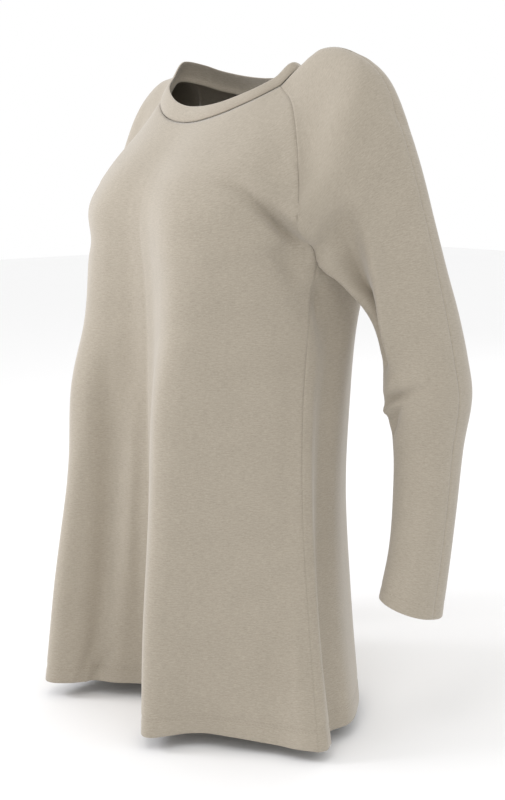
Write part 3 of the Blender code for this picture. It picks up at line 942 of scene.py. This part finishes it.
@dataclass
class Stitching:
    """Rows of small stitches along the turned-up edges, half sunk in the cloth."""

    length: float = 0.0023
    pitch: float = 0.0033
    thickness: float = 0.00050
    sink: float = 0.00006
    margin: float = 0.001

    def shape(self) -> Mesh:
        """One stitch of unit size, made once and laid many times."""
        bm = bmesh.new()
        bmesh.ops.create_uvsphere(bm, u_segments=6, v_segments=4, radius=1.0)
        for face in bm.faces:
            face.smooth = True
        return mesh_of(bm, "one_stitch")

    def row(self, bm: bmesh.types.BMesh, shape: Mesh, path: Array, out: Array) -> None:
        """Adds one row of stitches along a path.

        Args:
            bm: where they go.
            shape: one stitch of unit size.
            path: points on the cloth.
            out: outward direction at each.
        """
        run = lengths_along(path)

        def at(place: float, line: Array) -> Array:
            """The line's point or direction at a length along the path."""
            return np.array([np.interp(place, run, line[:, axis]) for axis in range(3)])

        for k in range(int((run[-1] - 2 * self.margin) / self.pitch)):
            here = self.margin + (k + 0.5) * self.pitch
            start, end = at(here - self.length / 2, path), at(here + self.length / 2, path)
            normal, along = unit(at(here, out)), unit(end - start)
            frame_axes = (along * self.length / 2, unit(np.cross(normal, along)) * self.thickness / 2,
                          normal * self.thickness / 2, (start + end) / 2 - normal * self.sink)
            place = Matrix.Identity(4)
            for column, axis in enumerate(frame_axes):
                for i in range(3):
                    place[i][column] = axis[i]
            bm.from_mesh(shape)
            bm.verts.ensure_lookup_table()
            for vert in bm.verts[-len(shape.vertices):]:
                vert.co = place @ vert.co

    def build(self, pattern: Pattern, panels: Sequence[Panel], finish: Material) -> Object:
        """Stitches every row of the given panels.

        Args:
            pattern: the drafted and folded grids.
            panels: the panels with their rows.
            finish: of the thread.

        Returns:
            The stitches' object.
        """
        bm, shape = bmesh.new(), self.shape()
        for panel in panels:
            grid, normals = panel.crease_foot(pattern)
            for line in panel.stitch_rows:
                at = np.array([len(grid) - 1 - np.interp(line, middle_up(grid), np.arange(len(grid)))])
                self.row(bm, shape, cubic_resample(grid, at, 0)[0], unit(cubic_resample(normals, at, 0)[0]))
        piece = linked("hem_and_cuff_stitches", mesh_of(bm, "hem_and_cuff_stitches"))
        bpy.data.meshes.remove(shape)
        piece.data.materials.append(finish)
        return piece


@dataclass
class Studio:
    """Pale floor, bright surround, soft lights and the camera."""

    azimuth: float = 50.0
    distance: float = 1.712
    height: float = -0.08774
    focal_px: float = 1520.76
    picture_px: int = 800
    sensor: float = 36.0
    aim_right: float = 14.5 / 1500
    aim_down: float = 250 / 1500
    floor: float = -0.705
    floor_half: float = 6.0

    def camera(self) -> None:
        """Camera at the photograph's angle, without shift."""
        a = math.radians(self.azimuth)
        right, ahead = Vector((math.cos(a), math.sin(a), 0)), Vector((-math.sin(a), math.cos(a), 0))
        look = (ahead + right * self.aim_right - Vector((0, 0, 1)) * self.aim_down).normalized()
        data = bpy.data.cameras.new("camera")
        data.sensor_fit = "VERTICAL"
        data.sensor_height = data.sensor_width = self.sensor
        data.lens = self.focal_px / self.picture_px * self.sensor
        data.clip_start, data.clip_end = 0.05, 50.0
        camera = linked("camera", data)
        camera.location = self.around(0, self.distance, self.height)
        camera.rotation_euler = look.to_track_quat("-Z", "Y").to_euler()
        bpy.context.scene.camera = camera

    def ground(self) -> None:
        """Pale matt floor below the hem."""
        bm = bmesh.new()
        bmesh.ops.create_grid(bm, x_segments=8, y_segments=8, size=self.floor_half)
        bmesh.ops.translate(bm, verts=bm.verts[:], vec=(0, 0, self.floor))
        floor = linked("floor", mesh_of(bm, "floor"))
        floor.data.materials.append(new_material("pale_floor", {"Base Color": (0.93, 0.93, 0.93, 1),
                                                                "Roughness": 0.9}))

    def lamp(self, name: str, place: Triple, size: float, power: float, tint: Triple, target: Triple) -> None:
        """One soft square light, size metres wide and power watts strong, that faces a target."""
        data = bpy.data.lights.new(name, "AREA")
        data.size, data.energy, data.color = size, power, tint
        lamp = linked(name, data)
        lamp.location = place
        lamp.rotation_euler = (Vector(target) - Vector(place)).to_track_quat("-Z", "Y").to_euler()

    def around(self, angle: float, distance: float, height: float) -> Triple:
        """A place at an angle to the right of the camera's direction, seen from above."""
        a = math.radians(self.azimuth + angle)
        return (distance * math.sin(a), -distance * math.cos(a), height)

    def lights(self) -> None:
        """Soft light from the front and left, a weak fill, a rim light and a bright surround."""
        self.lamp("key", self.around(-92, 1.50, 0.30), 0.5, 11, (0.95, 0.95, 1.0), (0, -0.08, -0.15))
        self.lamp("fill", self.around(-20, 1.5, 1.50), 0.7, 5, (1.0, 0.98, 0.97), (0, 0, -0.05))
        self.lamp("rim", self.around(150, 2.4, 1.0), 1.0, 6, (1.0, 0.95, 0.95), (0, 0, -0.35))
        world = bpy.data.worlds.new("surround")
        world.use_nodes = True
        filled(world.node_tree.nodes["Background"], {"Color": (1.0, 1.0, 1.0, 1), "Strength": 1.0})
        bpy.context.scene.world = world
        bpy.context.scene.view_settings.view_transform = "Standard"


# Depth of the turned-up edge and the stitch rows above it, at the hem and at the cuff
HEM = (0.020, (0.0150, 0.0180))
CUFF = (0.016, (0.0125,))
PANELS = (
    Panel("front", (0.675, 0.690), 0.342, *HEM),
    Panel("back", (0.632, 0.700), 0.345, *HEM),
    Panel("sleeve_front_left", (0.155, 0.640), 0.0722, *CUFF),
    Panel("sleeve_back_left", (0.165, 0.665), 0.0715, *CUFF),
    Panel("sleeve_front_right", (0.145, 0.618), 0.0670, *CUFF),
    Panel("sleeve_back_right", (0.158, 0.648), 0.0675, *CUFF),
)


def finish_piece(piece: Object, node: str, flat: tuple[float, float]) -> None:
    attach(piece, "root")
    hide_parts(node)
    LOG.info("%s: %d points, flat %.3f x %.3f m", piece.name, len(piece.data.vertices), *flat)


def main() -> None:
    """Builds the cloth over the solids, then the studio."""
    logging.basicConfig(level=logging.INFO, format="%(message)s")
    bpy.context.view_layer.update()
    body = JerseyFinish().material(jersey_group())
    pattern = Pattern()
    pattern.draft_all()
    pattern.face_out()
    pattern.fold_all()
    band = Neckband()
    neck = band.build(pattern, body)
    for panel in PANELS:
        finish_piece(panel.build(pattern, body), panel.name, panel.flat)
    finish_piece(neck, "neckband", band.flat)
    stitches = Stitching().build(pattern, PANELS, ThreadFinish().material())
    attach(stitches, "root")
    LOG.info("%s: %d faces", stitches.name, len(stitches.data.polygons))
    studio = Studio()
    studio.camera()
    studio.ground()
    studio.lights()
    bpy.context.view_layer.update()


if __name__ == "__main__":
    main()
